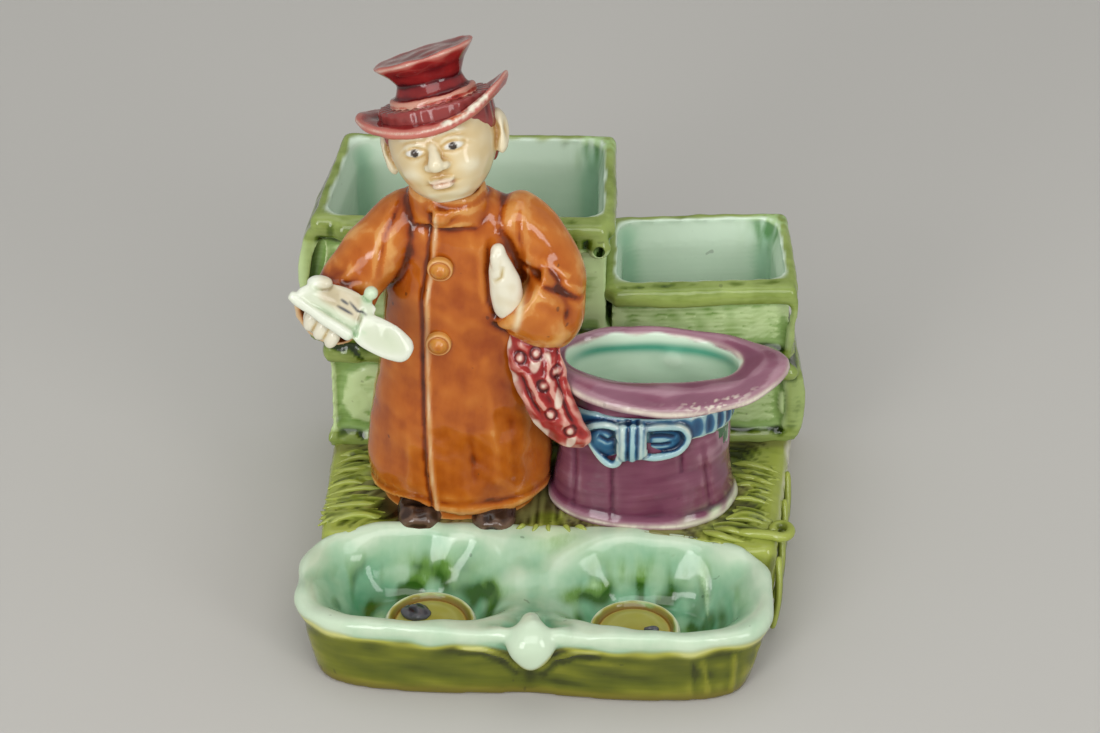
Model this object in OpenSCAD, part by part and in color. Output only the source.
// Figural match striker in glazed earthenware, cast and fired in one piece.
// A man in a long coat and a small flared hat reads from a sheet, beside an
// upturned top hat with a ribbon. Two stacks of closed books stand behind them,
// each with an open well, and a double tray runs along the front of the base.
// Millimetres, +Z up. The origin is the centre of the footprint, on the table.

/* [Casting] */
// Thickness of the cast wall round the hollow underside
wall = 5; // [4:0.5:6]
// Width of the foot rim that the piece stands on
foot_rim = 5; // [4:0.5:7]
// Height of the grassy ground above the table
ground_h = 24; // [21:1:28]
// How far the sides of the base lean in towards the foot
base_draft = 2; // [1:0.5:3]

/* [Double tray] */
// Depth of the tray from front to back
tray_d = 48; // [44:1:52]
// Width of the tray over its rim
tray_w = 134; // [128:1:140]
// Height of the rim above the table
tray_h = 22.5; // [20:0.5:25]
// How far the front wall leans in towards the foot
tray_draft = 5; // [4:0.5:8]
// Width of the rim between a basin and the outside
tray_lip = 4; // [3:0.5:5]
// Width of the ridge between the two basins
ridge_w = 9; // [7:0.5:12]
// Height of a basin's floor above the table
basin_floor = 7; // [6:0.5:9]
// Radius of the raised ring on a basin's floor
disc_r = 12.5; // [10:0.5:14]
// How far the curled leaf on the front stands out from the rim
nub_out = 4.5; // [3:0.5:6]

/* [Left books] */
// Width of the left stack along its front
left_w = 87; // [82:1:92]
// How much narrower the left stack is along its back
left_taper = 7; // [5:0.5:9]
// Depth of the left stack
left_d = 49; // [45:1:54]
// Thickness of the lower left book
left_low_h = 36; // [32:1:40]
// Thickness of the upper left book
left_top_h = 43.5; // [38:0.5:48]

/* [Right books] */
// Width of the right stack along its front
right_w = 57; // [53:1:61]
// How much narrower the right stack is along its back
right_taper = 3; // [2:0.5:5]
// Depth of the right stack
right_d = 40; // [36:1:44]
// Thickness of the lower right book
right_low_h = 29; // [26:1:32]
// Thickness of the upper right book
right_top_h = 27; // [24:1:30]
// How far the right stack stands behind the front of the left one
right_back = 8; // [6:1:10]

/* [Book details] */
// Thickness of a cover at its rolled edge
cover_t = 7; // [6:0.5:8]
// How far the pages stand back from the covers
page_inset = 2.5; // [2:0.5:3]
// Height of one ridge along the page edges, which the matches are struck on
rib_pitch = 4; // [3.5:0.5:6]
// How far a rounded spine bulges out
spine_out = 4; // [3:0.5:5]
// Wall left round a book's well
well_wall = 4.5; // [4:0.5:6]
// Radius of the upright corners in a well
well_r = 5; // [4:0.5:7]

/* [Top hat] */
// Width of the crown where it stands on the ground
crown_w = 54; // [50:1:58]
// Depth of the crown where it stands on the ground
crown_d = 38; // [35:1:41]
// Height from the ground to the brim
crown_h = 50; // [46:1:54]
// Width of the brim along its front
brim_front = 11; // [9:0.5:13]
// Thickness of the brim
brim_t = 3; // [2.5:0.5:4]
// Height of the ribbon round the crown
ribbon_h = 8; // [7:0.5:10]

/* [Figure] */
// Height of the coat from its hem to its shoulders
coat_h = 97; // [92:1:102]
// Width of the coat at its hem
coat_w = 53; // [50:1:56]
// Depth of the coat at its hem
coat_d = 37; // [35:1:39]
// Height of the coat's hem above the ground
hem_h = 3.5; // [3:0.5:5]
// Width of the head between the ears
head_w = 29; // [27:0.5:31]
// Height of the head from chin to hat
head_h = 26; // [24:0.5:28]
// Sideways lean of the head and its hat, in degrees
head_roll = 15; // [8:1:20]
// Backward lean of the head and its hat, in degrees
head_lean = 20; // [12:1:26]
// Height of the small hat
hat_h = 17; // [15:0.5:19]
// Width of the small hat's brim
hat_w = 43; // [40:0.5:46]
// Radius of a coat button
button_r = 3; // [2.5:0.25:3.5]

/* [Hidden] */
seat = 2;
bed = 0.6;

// Colours of the glazes
leaf_green = "olivedrab";
page_green = "darkseagreen";
lining_aqua = "paleturquoise";
coat_amber = "chocolate";
hat_red = "firebrick";
hat_purple = "mediumorchid";
ribbon_blue = "steelblue";
bare_ivory = "ivory";
shoe_black = "dimgray";
disc_yellow = "goldenrod";

// Turns of the two stacks, and how far each lower book stands in from the upper one
left_turn = 2.5;
right_turn = 6;
left_in = 2;
right_in = 1;

// Depth chain from the curled leaf at the front to the backs of the books
lawn_d = 35;
right_step = right_back - 3;
books_d = max(left_d + left_w * sin(left_turn), right_step + right_d + right_w * sin(right_turn));
total_d = nub_out + tray_d + lawn_d + books_d;
tray_y = nub_out - total_d / 2;
lawn_y = tray_y + tray_d;
books_y = lawn_y + lawn_d;
back_y = total_d / 2;

// Width chain from the left spine to the right one
stack_lap = 4;
spine_span = left_w - stack_lap + right_w * cos(right_turn) - right_in;
left_x = -spine_span / 2;
right_x = left_x + left_w - stack_lap;
side_x = right_x + right_w;
tray_x = (left_x + side_x) / 2 - 2.5;

left_top_z = ground_h + left_low_h + left_top_h;
right_top_z = ground_h + right_low_h + right_top_h;
hollow_roof = ground_h - wall;
well_floor = ground_h + seat;

// Places of the main forms on the ground
hat_at = [right_x + 13, lawn_y + 20, ground_h];
coat_at = [left_x + 43.5, lawn_y + 17.5, ground_h + hem_h];
shoulder_z = coat_at.z + coat_h;

// Signed power, which squares off an ellipse
function spow(v, e) = sign(v) * pow(abs(v), e);

function unit(v) = v / norm(v);

function mean(points) = [for (k = [0:2]) let (c = [for (p = points) p[k]]) sum(c) / len(c)];

function sum(v, i = 0) = i < len(v) ? v[i] + sum(v, i + 1) : 0;

// Flat closed ring: centre, half-widths and squareness, where 2 is an ellipse
function oval(c, rx, ry, sq = 2, n = 32) =
    [for (i = [0:n - 1]) let (a = 360 * i / n)
        [c.x + rx * spow(cos(a), 2 / sq), c.y + ry * spow(sin(a), 2 / sq), c.z]];

// Outward normal of an edge of a plan that runs anticlockwise
function outward(a, b) = let (e = unit(b - a)) [e.y, -e.x];

// A plan's corners moved in by d, or out where d is negative
function inset(plan, d) =
    [for (i = [0:len(plan) - 1])
        let (p = plan[(i + len(plan) - 1) % len(plan)],
             c = plan[i],
             n = plan[(i + 1) % len(plan)],
             n1 = outward(p, c),
             n2 = outward(c, n))
        c - d * (n1 + n2) / (1 + n1 * n2)];

// A plan at height z with its corners rounded by arcs of k steps
function rounded(plan, r, z, k = 3) =
    [for (i = [0:len(plan) - 1])
        let (p = plan[(i + len(plan) - 1) % len(plan)],
             c = plan[i],
             n = plan[(i + 1) % len(plan)],
             n1 = outward(p, c),
             n2 = outward(c, n),
             m = c - r * (n1 + n2) / (1 + n1 * n2),
             a1 = atan2(n1.y, n1.x),
             turn = acos(n1 * n2))
        for (j = [0:k]) let (a = a1 + turn * j / k) [m.x + r * cos(a), m.y + r * sin(a), z]];

// A plan at height z with sharp corners
function square_cut(plan, z) = [for (p = plan) [p.x, p.y, z]];

// Four-sided plan that narrows on its left towards the back, turned about its front left corner
function quad(at, w, d, taper, turn) =
    [for (p = [[0, 0], [w, 0], [w, d], [taper, d]])
        [at.x + p.x * cos(turn) - p.y * sin(turn), at.y + p.x * sin(turn) + p.y * cos(turn)]];

// Skin through a list of rings with the same count of points, closed at both ends
module loft(rings) {
    n = len(rings[0]);
    m = len(rings);
    points = concat([for (r = rings) each r], [mean(rings[0]), mean(rings[m - 1])]);
    sides = [for (k = [0:m - 2], i = [0:n - 1])
        let (a = k * n + i, b = k * n + (i + 1) % n)
        each [[a, a + n, b + n], [a, b + n, b]]];
    ends = [for (i = [0:n - 1])
        let (top = (m - 1) * n, j = (i + 1) % n)
        each [[m * n, i, j], [m * n + 1, top + j, top + i]]];
    polyhedron(points, concat(sides, ends), convexity = 6);
}

// Limb through stations [centre, half-width, half-thickness], side square to flat
module limb(stations, flat = [0, 0, 1], n = 12) {
    last = len(stations) - 1;
    loft([for (i = [0:last])
        let (s = stations[i],
             t = unit(stations[min(i + 1, last)][0] - stations[max(i - 1, 0)][0]),
             u = unit(cross(flat, t)),
             v = cross(t, u))
        [for (j = [0:n - 1]) let (a = 360 * j / n) s[0] + s[1] * cos(a) * u + s[2] * sin(a) * v]]);
}

// Rounded pebble with three half-widths
module pebble(at, r, n = 12) {
    translate(at)
        scale(r)
            sphere(1, $fn = n);
}

// Flat plate on a plan, with its upper and lower edges rolled and corners of k steps
module plate(plan, r, z, t, roll, k) {
    loft([
        rounded(inset(plan, roll), r, z, k),
        rounded(plan, r, z + roll, k),
        rounded(plan, r, z + t - roll, k),
        rounded(inset(plan, roll), r, z + t, k)
    ]);
}

// Block of pages whose edges are ridged, as one stack of stepped rings
module pages(plan, z, h, pitch) {
    count = floor(h / pitch);
    step = h / count;
    groove = 0.8;
    loft([for (i = [0:count - 1])
        each [
            square_cut(inset(plan, groove), z + step * i),
            square_cut(plan, z + step * (i + 0.55))
        ]]);
}

// Half-round spine standing out from one side of a book, with its hollow ends
module spine(plan, side, z, h, out, hollow) {
    front = side < 0 ? plan[0] : plan[1];
    back = side < 0 ? plan[3] : plan[2];
    along = back - front;
    length = norm(along) - 2 * bed;
    translate([front.x, front.y, z + h / 2])
        rotate([90, 0, atan2(along.y, along.x) - 90])
            translate([0, 0, -length - bed])
                difference() {
                    linear_extrude(length)
                        polygon([
                            for (a = [-90:22.5:90]) [side * ((out + 1) * cos(a) - 1), h / 2 * sin(a)],
                            [-side * 4, h / 2], [-side * 4, -h / 2]
                        ]);
                    for (end = [-hollow, length - hollow])
                        translate([side * 0.2, 0, end])
                            linear_extrude(2 * hollow)
                                scale([(out - 2) / (h / 2), 0.7])
                                    circle(h / 2, $fn = 10);
                }
}

// Closed book lying flat: two covers, ridged pages and, where it shows, a rounded spine
module book(plan, z, h, side, k = 1) {
    roll = 2.2;
    color(leaf_green) {
        plate(plan, 2.5, z, cover_t - 1, roll, 1);
        plate(plan, 2.5, z + h - cover_t, cover_t, roll, k);
        if (side != 0)
            spine(plan, side, z + 1, h - 5, spine_out, page_inset);
    }
    color(page_green)
        pages(inset(plan, page_inset), z + cover_t - roll, h - 2 * cover_t + 2 * roll, rib_pitch);
}

left_plan = quad([left_x, books_y], left_w, left_d, left_taper, left_turn);
right_plan = quad([right_x, books_y + right_step], right_w, right_d, right_taper, right_turn);

module left_books() {
    low_plan = inset(left_plan, left_in);
    book(low_plan, ground_h - seat, left_low_h + seat, 0);
    book(left_plan, ground_h + left_low_h - bed, left_top_h + bed, -1, 3);
    // Rolled end of the cover at the front right corner
    color(leaf_green)
        translate([left_plan[1].x - 4.2, left_plan[1].y + 3, left_top_z - cover_t - 0.6])
            rotate([90, 0, 0])
                rotate_extrude($fn = 11)
                    polygon([[0, 0], [4.6, 0], [4.2, 4.4], [2.6, 4], [1.8, 2.4], [0, 2.4]]);
}

module right_books() {
    low_plan = inset(right_plan, right_in);
    book(low_plan, ground_h - seat, right_low_h + seat, 1);
    book(right_plan, ground_h + right_low_h - bed, right_top_h + bed, 0, 3);
}

// Outline of the base on the table and at the ground, anticlockwise from the front left
base_plan = [
    [left_x + 5, tray_y + tray_d * 0.5],
    [side_x - 5, tray_y + tray_d * 0.5],
    [side_x + 1, back_y - 0.5],
    [left_x + 3, back_y - 3.5]
];

// Right side wall of the base at a depth
function wall_x(y) = lookup(y, [for (i = [1, 2]) [base_plan[i].y, base_plan[i].x]]);

module base() {
    color(leaf_green)
        loft([
            rounded(inset(base_plan, base_draft), 4, 0),
            rounded(inset(base_plan, base_draft - 1), 4, 1.5),
            rounded(inset(base_plan, 0), 4, ground_h - 2),
            rounded(inset(base_plan, 1.5), 4, ground_h)
        ]);
}

// One blade of grass lying on the ground, as a thin ridge from its root to its tip
module blade(root, tip, w) {
    limb([[[root.x, root.y, ground_h - 0.6], w, 1.6], [[tip.x, tip.y, ground_h - 0.4], w * 0.4, 0.8]], n = 4);
}

// Tufts combed outwards along both sides and behind the tray
module grass() {
    color(leaf_green) {
        for (i = [0:5])
            blade([left_x + 16 + i % 3, lawn_y + 1 + 4.9 * i], [left_x + 5.7, lawn_y - 2.6 + 5.3 * i], 2.1);
        for (i = [0:5])
            blade([side_x - 14 - i % 3, lawn_y + 6.1 * i + 4], [side_x - 4, lawn_y + 6.5 * i - 1.5], 2.1);
        // Curled leaf in the front right corner
        limb([
            [[side_x - 17, lawn_y - 5, ground_h - 1], 2, 1],
            [[side_x - 9, lawn_y - 1, ground_h + 0.6], 2.6, 1.8],
            [[side_x - 3.5, lawn_y + 4, ground_h + 0.2], 2, 1.8],
            [[side_x - 2, lawn_y + 11, ground_h - 1], 1, 1]
        ], n = 6);
        // Leaves in low relief down the right side
        for (i = [0:3])
            let (y = lawn_y - 14 + 15 * i)
            limb([
                [[wall_x(y) - 2, y, 5], 1.2, 1.6],
                [[wall_x(y + 3) - 1.2, y + 3, 13], 3, 2.4],
                [[wall_x(y + 7) - 1.4, y + 7, ground_h - 2], 1.2, 1.6]
            ], flat = [1, 0, 0], n = 6);
    }
}

tray_c = [tray_x, tray_y + tray_d / 2];

// Ring of the tray's outside, with a dip on its centre line between the two lobes
function tray_ring(z, grow, n = 36) =
    [for (p = oval([tray_c.x, tray_c.y, z], tray_w / 2 + grow, tray_d / 2 + grow * 0.6, 3.4, n))
        p - [0, sign(p.y - tray_c.y) * 2.5 * exp(-pow((p.x - tray_c.x) / 10, 2)), 0]];

module tray() {
    under_rim = tray_ring(tray_h - 5.5, -2.2);
    color(leaf_green)
        loft([
            tray_ring(0, -tray_draft - 1),
            tray_ring(1.5, -tray_draft),
            tray_ring(tray_h - 6.2, -1.5),
            under_rim
        ]);
    color(lining_aqua)
        loft([
            under_rim,
            tray_ring(tray_h - 3.5, -0.4),
            tray_ring(tray_h - 1, 0),
            tray_ring(tray_h, -1.6)
        ]);
}

basin_w = (tray_w - ridge_w) / 2 - tray_lip;
basin_d = tray_d - 2 * tray_lip;
basin_x = (basin_w + ridge_w) / 2;

// One basin: a quarter-ellipse section from its rim down to a flat floor
module basin(side) {
    depth = tray_h - basin_floor;
    floor_x = basin_w / 2 - 11;
    floor_y = basin_d / 2 - 7;
    c = [tray_c.x + side * basin_x, tray_c.y];
    loft(concat(
        [for (q = [90:-22.5:0])
            oval([c.x, c.y, tray_h - depth * sin(q)],
                 floor_x + (basin_w / 2 - floor_x) * cos(q),
                 floor_y + (basin_d / 2 - floor_y) * cos(q),
                 2.6, 24)],
        [oval([c.x, c.y, ground_h + 1], basin_w / 2 + 2, basin_d / 2 + 2, 2.6, 24)]
    ));
}

// Both basins, with the ridge between them lowered along its middle
module basins() {
    color(lining_aqua) {
        for (side = [-1, 1])
            basin(side);
        pebble([tray_c.x, tray_c.y + 2, tray_h + 4], [ridge_w, basin_d / 2 - 2, 9], 12);
    }
}

// Raised ring with a domed disc and a dark pebble on the floor of a basin
module disc(side) {
    translate([tray_c.x + side * basin_x, tray_c.y + 1, basin_floor]) {
        color(disc_yellow)
            rotate_extrude($fn = 18)
                polygon([
                    [0, -seat], [disc_r + 1.6, -seat], [disc_r + 1.2, 0.8], [disc_r, 1.6],
                    [disc_r - 1.6, 0.5], [0, 1.4]
                ]);
        color(shoe_black)
            pebble([side < 0 ? -4 : 3.5, side < 0 ? 2 : -1, 1], [3.8, 3.4, 1.5], 7);
    }
}

// Curled leaf on the centre of the tray's front, in three lobes with a peaked top
module nub() {
    tip = [tray_c.x - 1, tray_y + 10, tray_h + 1.5];
    color(lining_aqua) {
        for (lobe = [[-6, 7.2, 5, 3.4], [6, 7.2, 5, 3.4], [0, 4.25, 7.5, 4.6]])
            hull() {
                translate(tip)
                    sphere(2.2, $fn = 6);
                translate([tray_c.x + lobe[0], tray_y - nub_out + lobe[1], tray_h - lobe[2]])
                    sphere(lobe[3], $fn = 8);
            }
    }
    color(leaf_green)
        for (side = [-1, 1])
            limb([
                [[tray_c.x + side * 3, tray_y + 2, tray_h - 13], 1, 1],
                [[tray_c.x + side * 10, tray_y + 2.2, tray_h - 6.5], 1.3, 1.3],
                [[tray_c.x + side * 18, tray_y + 1.6, tray_h - 6], 1, 1]
            ], n = 4);
}

// Section of the top hat: [height, width share, how far the ribbon stands out]
ribbon_z = 0.6 * crown_h;
crown_steps = [
    [-seat, 0.97, 0], [2, 1, 0], [4.5, 0.95, 0],
    [ribbon_z, 0.9, 0], [ribbon_z + 0.5, 0.9, 1.2],
    [ribbon_z + ribbon_h, 0.905, 1.2], [ribbon_z + ribbon_h + 0.5, 0.91, 0]
];

mouth_c = [2.5, -1];
mouth_r = [24.2, 13.6];

// Brim at angle a, t = 0 at the mouth and t = 1 at the outer edge
function brim_point(a, t, lift) =
    let (reach = [34.5 + 1.5 * cos(a), mouth_r.y + brim_front + (sin(a) > 0 ? -6 * sin(a) : 0)],
         r = mouth_r + t * (reach - mouth_r),
         shift = [mouth_c.x + t * (cos(a) > 0 ? 0 : 4.5), mouth_c.y - 3 * t],
         droop = t * t * (4.5 * max(-sin(a), 0) - 2 * max(sin(a), 0) - max(-cos(a), 0)))
    hat_at + [shift.x + r.x * cos(a), shift.y + r.y * sin(a), crown_h - droop + lift];

function brim_ring(t, lift, n = 24) = [for (i = [0:n - 1]) brim_point(360 * i / n, t, lift)];

module top_hat() {
    color(hat_purple)
        loft(concat(
            [for (s = crown_steps)
                oval(hat_at + [0, 0, s[0]], s[1] * crown_w / 2 + s[2], s[1] * crown_d / 2 + s[2], 2.2, 24)],
            [
                brim_ring(0.35, -brim_t * 1.5),
                brim_ring(0.95, -brim_t),
                brim_ring(1, -brim_t * 0.5),
                brim_ring(0.93, 0),
                brim_ring(0.06, 0.4),
                brim_ring(-0.04, -0.2)
            ]
        ));
}

// Bow at the front of the ribbon: two loops with hollow eyes either side of the knot
module bow() {
    front = hat_at + [-3.5, -0.47 * crown_d, ribbon_z + 1];
    color(ribbon_blue) {
        difference() {
            hull() {
                pebble(front + [-13, 4.4, 2.4], [1.4, 1.8, 1.6], 6);
                pebble(front + [-7.5, 1.6, -5.2], [3.6, 2.4, 3.4], 8);
                pebble(front + [-2.5, 0, 1.6], [1.6, 2.4, 4.2], 7);
            }
            pebble(front + [-7.4, -1.2, 0.2], [2.6, 1.6, 1.7], 7);
        }
        hull() {
            pebble(front + [-0.8, -0.6, -0.2], [2, 2.6, 5.2], 8);
            pebble(front + [3.8, -0.6, -0.2], [2, 2.6, 5.2], 8);
        }
        difference() {
            hull() {
                pebble(front + [5.6, 0, 0.4], [1.8, 2.2, 4], 8);
                pebble(front + [13.2, 1.2, 0.6], [4.2, 2.6, 5.2], 8);
            }
            pebble(front + [10.6, -1.6, 0.4], [4, 1.8, 2.4], 8);
        }
    }
}

// Spotted kerchief that falls from under the arm over the brim of the top hat
module kerchief() {
    path = [
        [hat_at + [-33, -14, 62], 5, 2.2],
        [hat_at + [-31.5, -16.5, 53], 6.8, 3],
        [hat_at + [-28, -18.5, 44], 7, 3.2],
        [hat_at + [-22.5, -20, 36.5], 6, 3],
        [hat_at + [-16.5, -18.5, 31], 2.2, 2]
    ];
    color(hat_red) {
        limb(path, flat = [0, -1, 0], n = 10);
        for (i = [0:3])
            translate(path[i][0] + [i % 2 == 0 ? 2.5 : -2.5, -path[i][2] + 0.2, -3])
                rotate([90, 0, 0])
                    cylinder(h = 1.4, r1 = 2, r2 = 1.2, center = true, $fn = 8);
    }
}

// Section of the coat: [height share, half-width share, front share, sideways shift]
coat_steps = [
    [0, 0.95, 0.95, 0], [0.03, 0.99, 0.99, 0], [0.12, 1, 1, 0], [0.26, 0.96, 0.98, 0.3],
    [0.42, 0.88, 0.95, 0.6], [0.58, 0.81, 0.9, 0.8], [0.8, 0.78, 0.84, 0.7],
    [0.93, 0.75, 0.73, 0.2], [0.985, 0.6, 0.6, -0.6], [1.02, 0.42, 0.48, -1.4]
];
neck_z = coat_at.z + 1.02 * coat_h;

// Front of the coat at a share of its height, for what is sewn on it
function coat_front(t) = coat_at.y + 1.5 - coat_d / 2 * lookup(t, [for (s = coat_steps) [s[0], s[2]]]);

module coat() {
    color(coat_amber) {
        loft([for (s = coat_steps)
            let (depth = coat_d / 2 * s[2], back = s[0] > 0.6 ? 5 * (s[0] - 0.6) / 0.4 : 0)
            oval(coat_at + [s[3], 1.5 - back / 2, s[0] * coat_h], coat_w / 2 * s[1], depth - back / 2, 2.3, 22)]);
        // Lining under the hem, down to the ground
        loft([for (z = [-hem_h - seat, 2])
            oval(coat_at + [0, 1.5, z], coat_w / 2 - 3.4, coat_d / 2 - 3.4, 2.3, 14)]);
        // Stand collar
        loft([
            oval([coat_at.x - 1.4, coat_at.y - 3, neck_z - 4], 12, 9.6, 2, 16),
            oval([coat_at.x - 1.8, coat_at.y - 3.6, neck_z + 4], 10, 8.8, 2, 16),
            oval([coat_at.x - 1.8, coat_at.y - 3.6, neck_z + 4.8], 9, 7.8, 2, 16)
        ]);
        // Raised edge of the front opening
        limb([for (t = [0.0, 0.2, 0.4, 0.6, 0.8, 0.94])
            [[coat_at.x - 8.5 + (t > 0.6 ? 10 * (t - 0.6) : 0), coat_front(t) + 0.7, coat_at.z + coat_h * t], 1.3, 1.5]],
            flat = [0, 1, 0], n = 4);
        // Two round buttons and the knot at the collar
        for (t = [0.59, 0.845])
            pebble([coat_at.x - 4.2, coat_front(t) - 0.6, coat_at.z + coat_h * t], [button_r, 2.2, button_r], 9);
        pebble([coat_at.x - 3, coat_at.y - 13.2, neck_z - 0.4], [2.6, 2, 2.2], 8);
    }
}

left_shoulder = [coat_at.x - 13, coat_at.y - 1.5, shoulder_z - 7];
right_shoulder = [coat_at.x + 16.5, coat_at.y - 1.5, shoulder_z - 6];
left_cuff = [coat_at.x - 34, coat_at.y - 20.5, shoulder_z - 28];
right_cuff = [coat_at.x + 16.5, coat_at.y - 14.5, shoulder_z - 20];

module sleeves() {
    elbow = right_shoulder + [10, -8.6, -28];
    color(coat_amber) {
        limb([
            [left_shoulder + [5, 2, 3.4], 6, 6],
            [left_shoulder, 8.4, 8.4],
            [left_shoulder + [-7, -4, -6.5], 8.9, 8.9],
            [left_shoulder + [-14, -9, -14], 8.8, 8.8],
            [left_cuff + [4.2, 8, 1.6], 8.6, 9.2],
            [left_cuff + [0.8, 2, 0.5], 9.5, 10.5],
            [left_cuff, 9.9, 11]
        ], n = 12);
        limb([
            [right_shoulder + [-4.5, 0.5, 4], 6, 6],
            [right_shoulder, 8.4, 8.4],
            [right_shoulder + [6.5, -0.5, -6.5], 8.6, 8.6],
            [right_shoulder + [11.5, -2.5, -16.5], 8.6, 8.6],
            [right_shoulder + [12.8, -5.6, -25], 8.2, 8.4],
            [right_shoulder + [11.5, -8, -31], 6, 6.6],
            [right_shoulder + [9, -9, -35.4], 2.4, 3]
        ], flat = [0, 1, 0], n = 12);
        hull() {
            pebble(elbow, [8, 7.6, 8.6], 11);
            pebble(right_cuff + [3, 2, -3.4], [3, 6.6, 10.6], 12);
        }
        // Folds in the crook of the right elbow
        for (i = [0:1])
            limb([
                [right_shoulder + [3 + 2.4 * i, -8.2, -11 - 4 * i], 1, 1],
                [right_shoulder + [8 + 2.2 * i, -8.9 + 0.3 * i, -14 - 4 * i], 1.7, 1.6],
                [right_shoulder + [13 + 1.6 * i, -7.6 + 0.8 * i, -16.4 - 4 * i], 1, 1]
            ], n = 5);
    }
}

// The hollow inside the left cuff
module cuff_hollow() {
    limb([[left_cuff + [2.4, 5, 0.8], 6.4, 7.4], [left_cuff + [-0.6, -1.4, -0.2], 8.2, 9.4]], n = 12);
}

module hands() {
    color(bare_ivory) {
        // Left hand under the sheet
        hull() {
            pebble(left_cuff + [2, 4, 0], [4.6, 4, 6.6], 8);
            pebble(left_cuff + [1, -4, 3], [5, 3.4, 5.4], 8);
        }
        limb([
            [left_cuff + [4.2, 0, 6.8], 2.3, 2.3],
            [left_cuff + [5.2, -4, 9.2], 2.3, 2.1],
            [left_cuff + [8.2, -7.5, 9.2], 1.5, 1.4]
        ], n = 6);
        // Right hand laid on the chest, with its thumb up
        hull() {
            pebble(right_cuff + [-2.8, -1.6, -5.5], [4, 3, 5.6], 10);
            pebble(right_cuff + [-3.4, -2.4, 2.5], [3.6, 2.6, 5.6], 10);
        }
        pebble(right_cuff + [-5.8, -3, 8], [2.2, 2, 3.8], 8);
    }
}

// Folded sheet held in the left hand, with a rolled edge and a lower flap
module sheet() {
    at = left_cuff + [0, -6, 0];
    color(bare_ivory) {
        hull() {
            pebble(at + [-3.5, -1, 9.5], [1.6, 1.6, 1.4], 6);
            pebble(at + [13, 3, 11], [1.2, 1.4, 1], 6);
            pebble(at + [13, -3, -1.5], [1.6, 1.8, 1.4], 6);
            pebble(at + [23, 1, 2], [1.2, 1.4, 1], 6);
        }
        hull() {
            pebble(at + [-3.9, -1.6, 9.8], [2.4, 2.5, 2.3], 8);
            pebble(at + [12.1, -3.4, -1], [2, 2.1, 2.2], 8);
        }
        hull() {
            pebble(at + [12, -2.4, 0], [1.4, 1.6, 1.8], 6);
            pebble(at + [20, -2, 1.5], [1.4, 1.4, 1.2], 6);
            pebble(at + [16, -3, -6.5], [1.4, 1.6, 1.2], 6);
            pebble(at + [26, -1.2, -7.5], [1, 1.2, 1], 6);
        }
        pebble(at + [14, 3.6, 11.8], [1.8, 1.8, 1.8], 6);
    }
}

head_at = [coat_at.x - 2, coat_at.y - 5, neck_z + 15.5];

// The head leans to one side and a little back
module tilted() {
    translate(head_at)
        rotate([-head_lean, -head_roll, 0])
            children();
}

// Outline of the head from chin to brow: [height share, half-width, half-depth, forward]
head_steps = [[-0.5, 0.3, 0.34, 0.16], [-0.46, 0.5, 0.52, 0.12], [-0.34, 0.72, 0.76, 0.06], [-0.16, 0.9, 0.93, 0.02],
              [0.06, 1, 1, 0], [0.3, 0.98, 1, 0], [0.5, 0.9, 0.92, 0]];

module head() {
    half = head_w / 2;
    color(bare_ivory)
        tilted() {
            loft([for (s = head_steps)
                oval([0, -s[3] * half, s[0] * head_h], s[1] * half, s[2] * half, 2.15, 16)]);
            // Plain nose, lips and closed-off brow
            hull() {
                pebble([0, -half - 0.4, 3], [1.4, 1.4, 2], 6);
                pebble([0, -half - 1.6, -1.6], [2, 2, 1.6], 6);
            }
            pebble([0, -half + 1, -6.4], [3.2, 1.6, 0.9], 6);
            for (side = [-1, 1]) {
                pebble([side * 5.2, -half + 1.6, 3.4], [2.5, 1.4, 1.5], 6);
                pebble([side * (half + 0.6), 0.5, 2.4], [1.9, 2.8, 4.8], 7);
            }
        }
    color(hat_red)
        tilted()
            loft([
                oval([0, 1.5, 0], 0.97 * half, 0.97 * half, 2.1, 15),
                oval([0, 1.2, 4], 1.08 * half, 1.04 * half, 2.1, 15),
                oval([0, 0.9, head_h * 0.52], 1.07 * half, 1.05 * half, 2.1, 15)
            ]);
    // Neck inside the collar
    color(bare_ivory)
        limb([[[coat_at.x - 1.6, coat_at.y - 3, neck_z], 7.6, 7], [head_at + [0, 2, -6], 8.4, 8]], flat = [0, 1, 0], n = 12);
}

// Section of the small hat's crown, with its folded band: [height share, half-width share]
hat_steps = [[0, 0.5], [0.12, 0.53], [0.3, 0.51], [0.36, 0.46], [0.52, 0.46],
             [0.6, 0.4], [0.78, 0.51], [0.94, 0.66], [1, 0.62]];

// Flared hat: a brim curled up at both sides and a pinched crown
module small_hat() {
    half = hat_w / 2;
    base_z = head_h * 0.36;
    color(hat_red)
        tilted() {
            loft([for (s = [[-1.4, 0.7, 0], [-1, 0.98, 1], [0, 1, 1], [1.2, 0.96, 1], [1.6, 0.6, 0.3]])
                [for (p = oval([0, -1, base_z + s[0]], half * s[1], 0.8 * half * s[1], 2, 24))
                    p + [0, 0, s[2] * 5 * pow(abs(p.x) / half, 2) * (p.x > 0 ? 1.3 : 0.9)]]]);
            loft([for (s = hat_steps)
                [for (p = oval([0, 0.5, base_z + 0.8 + s[0] * hat_h], s[1] * half, 0.95 * s[1] * half, 2, 18))
                    p + [0, 0, s[0] > 0.6 ? 1.6 * p.x / half : 0]]]);
        }
}

module shoes() {
    color(shoe_black)
        for (side = [-1, 1])
            hull() {
                pebble(coat_at + [side * 10 - 1, -15, -hem_h + 2], [6.2, 4.6, 3.2], 9);
                pebble(coat_at + [side * 9 - 1, -4, -hem_h + 2.6], [5.6, 6, 4], 6);
            }
}

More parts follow.
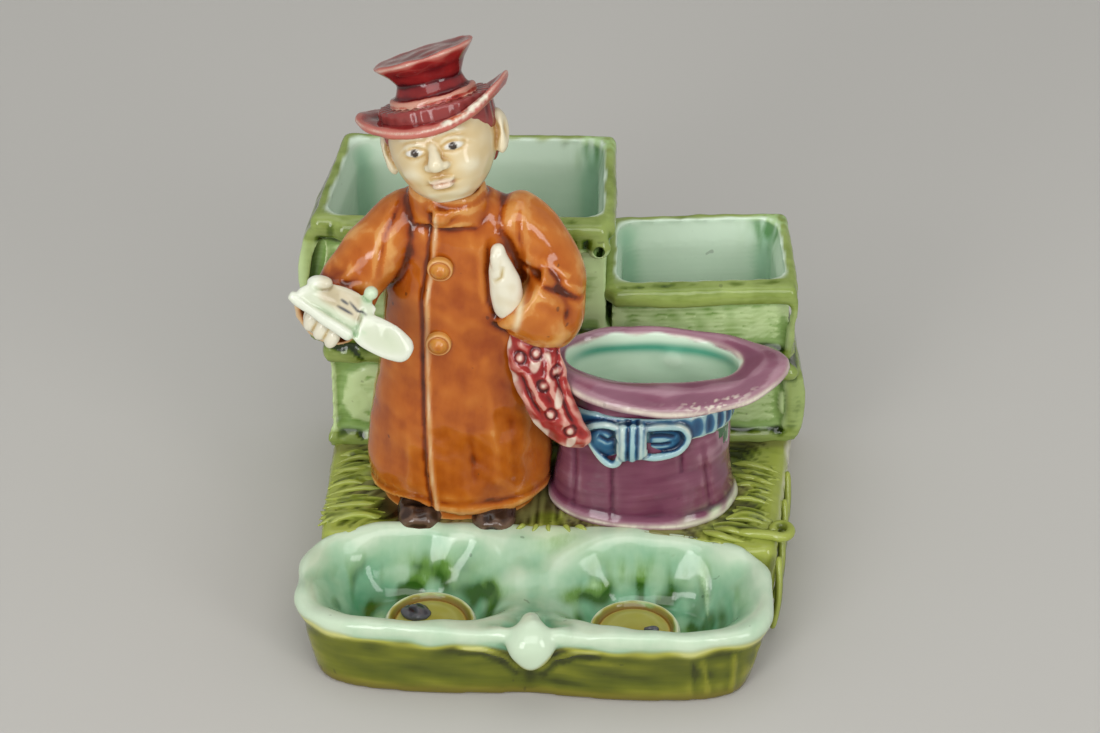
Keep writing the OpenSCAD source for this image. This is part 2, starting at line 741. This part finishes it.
// Well down through a stack, with sides that draw in a little towards its floor
module book_well(plan, top) {
    draw = 2;
    color(lining_aqua)
        loft([
            rounded(inset(plan, well_wall + draw + 3), well_r, well_floor),
            rounded(inset(plan, well_wall + draw), well_r, well_floor + 3),
            rounded(inset(plan, well_wall), well_r, top - 2),
            rounded(inset(plan, well_wall - 1.5), well_r, top + 1)
        ]);
}

module hat_well() {
    inner = [mouth_r.x - 1, mouth_r.y - 0.6];
    color(lining_aqua)
        loft([
            oval(hat_at + [mouth_c.x, mouth_c.y, well_floor - ground_h], inner.x - 8, inner.y - 4, 2.2, 22),
            oval(hat_at + [mouth_c.x, mouth_c.y, well_floor - ground_h + 3], inner.x - 4, inner.y - 1, 2.2, 22),
            oval(hat_at + [mouth_c.x, mouth_c.y, crown_h - 6], inner.x, inner.y, 2.1, 22),
            oval(hat_at + [mouth_c.x, mouth_c.y, crown_h - 1], mouth_r.x, mouth_r.y, 2, 22),
            oval(hat_at + [mouth_c.x, mouth_c.y, crown_h + 2], mouth_r.x + 1.2, mouth_r.y + 1.2, 2, 22)
        ]);
}

// Open hollow under the ground, the shallow recess under the tray, and the hollow coat
module underside() {
    deep = [
        [left_x + wall + 7, lawn_y + wall + 2],
        [side_x - wall - 7, lawn_y + wall + 2],
        [side_x - wall - base_draft, back_y - wall - 7],
        [left_x + wall + base_draft + 4, back_y - wall - 11]
    ];
    loft([rounded(deep, 4, -1), rounded(inset(deep, 1), 4, hollow_roof - 2), rounded(inset(deep, 3), 4, hollow_roof)]);
    loft([
        oval([tray_c.x, tray_c.y, -1], tray_w / 2 - tray_draft - foot_rim, tray_d / 2 - 4 - foot_rim, 3.4, 24),
        oval([tray_c.x, tray_c.y, 2], tray_w / 2 - tray_draft - foot_rim - 1, tray_d / 2 - 5 - foot_rim, 3.4, 24)
    ]);
    loft([for (s = [[0, 0.98, 0.98], [0.3, 0.9, 0.95], [0.6, 0.75, 0.85], [0.8, 0.6, 0.7], [0.86, 0.3, 0.4]])
        oval([coat_at.x, coat_at.y + 1, s[0] == 0 ? hollow_roof - 3 : coat_at.z + s[0] * coat_h],
             (coat_w / 2 - wall) * s[1], (coat_d / 2 - wall) * s[2], 2.2, 16)]);
}

// The whole casting
module match_striker() {
    difference() {
        union() {
            difference() {
                union() {
                    base();
                    tray();
                }
                basins();
            }
            grass();
            for (side = [-1, 1])
                disc(side);
            nub();
            left_books();
            right_books();
            top_hat();
            bow();
            kerchief();
            difference() {
                union() {
                    coat();
                    sleeves();
                }
                color(coat_amber)
                    cuff_hollow();
            }
            shoes();
            hands();
            sheet();
            head();
            small_hat();
        }
        book_well(left_plan, left_top_z);
        book_well(right_plan, right_top_z);
        hat_well();
        underside();
    }
}

match_striker();
